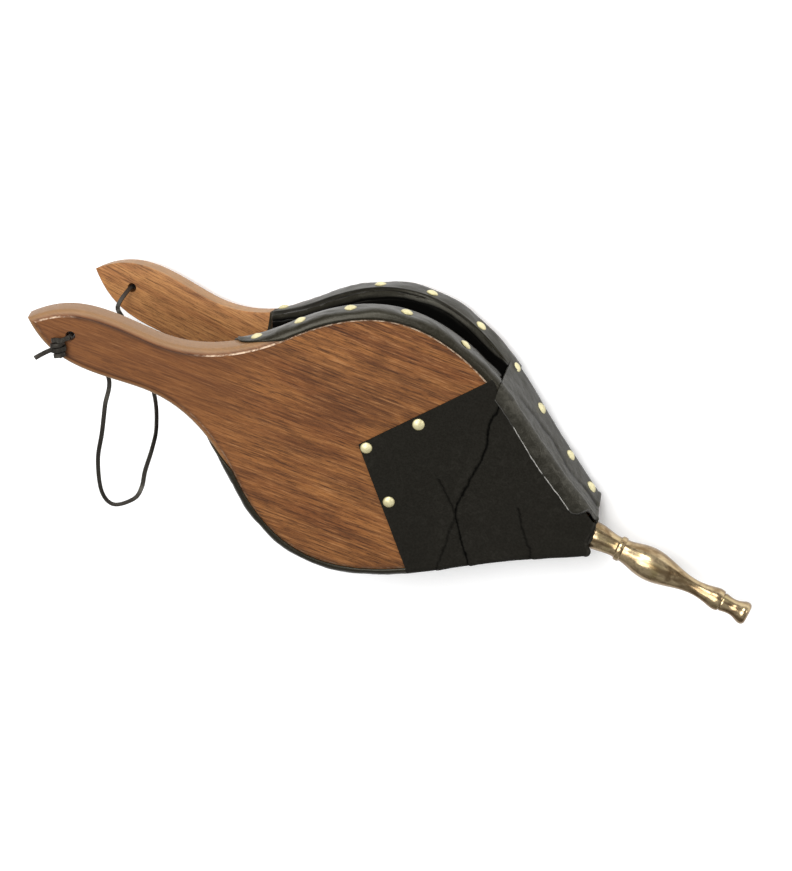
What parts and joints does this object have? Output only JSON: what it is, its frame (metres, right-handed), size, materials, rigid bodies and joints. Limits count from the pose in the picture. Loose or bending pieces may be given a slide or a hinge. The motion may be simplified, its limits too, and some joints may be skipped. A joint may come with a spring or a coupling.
{
  "type": "hand bellows",
  "caption": "Hand bellows with two paddle-shaped boards, a black leather gusset and nose apron, a turned brass nozzle and a hanging lace.",
  "frame": {"origin": "centre of the nozzle's mouth", "axes": "+X along the nozzle, out of its mouth; +Z from the lower board towards the upper board"},
  "size_m": [0.474, 0.196, 0.133],
  "materials": {
    "wood": "stained walnut brown, satin, with darker grain streaks",
    "wood_plain": "bare planed hardwood",
    "nozzle_brass": "antique brass with brown patina",
    "screw_steel": "plain steel",
    "valve_leather": "undyed brown leather",
    "tack_brass": "polished pale brass",
    "gusset_leather": "soft black leather with a slight sheen",
    "apron_leather": "matte black leather",
    "lace_leather": "dark flat leather lace"
  },
  "bodies": {
    "base": {"lower_board": "wood", "nose_block": "wood_plain", "nose_cap": "wood", "nozzle": "nozzle_brass", "nose_screws": "screw_steel", "valve_tacks": "tack_brass", "hinge_leather": "valve_leather", "gusset_wall": "gusset_leather", "gusset_edge_lower": "gusset_leather", "edge_tacks_lower": "tack_brass", "apron": "apron_leather", "nose_wrap": "apron_leather", "wrap_face_tacks": "tack_brass", "wrap_edge_tacks": "tack_brass", "hang_lace": "lace_leather", "lace_knot_lower": "lace_leather"},
    "upper": {"upper_board": "wood", "gusset_edge_upper": "gusset_leather", "edge_tacks_upper": "tack_brass", "apron_tacks": "tack_brass", "lace_knot_upper": "lace_leather"},
    "valve": {"valve_flap": "valve_leather", "valve_backing": "wood_plain"}
  },
  "joints": [
    {"name": "board_hinge", "type": "hinge", "parent": "base", "child": "upper", "pos_m": [-0.194, 0, 0.02375], "axis": [0, 1, 0], "range_deg": [-17, 5], "stiffness_Nm_per_rad": 8, "deforming": ["gusset_wall", "apron", "hinge_leather", "hang_lace"]},
    {"name": "valve_hinge", "type": "hinge", "parent": "base", "child": "valve", "pos_m": [-0.268, 0, -0.0092], "axis": [0, 1, 0], "range_deg": [0, 16]}
  ]
}
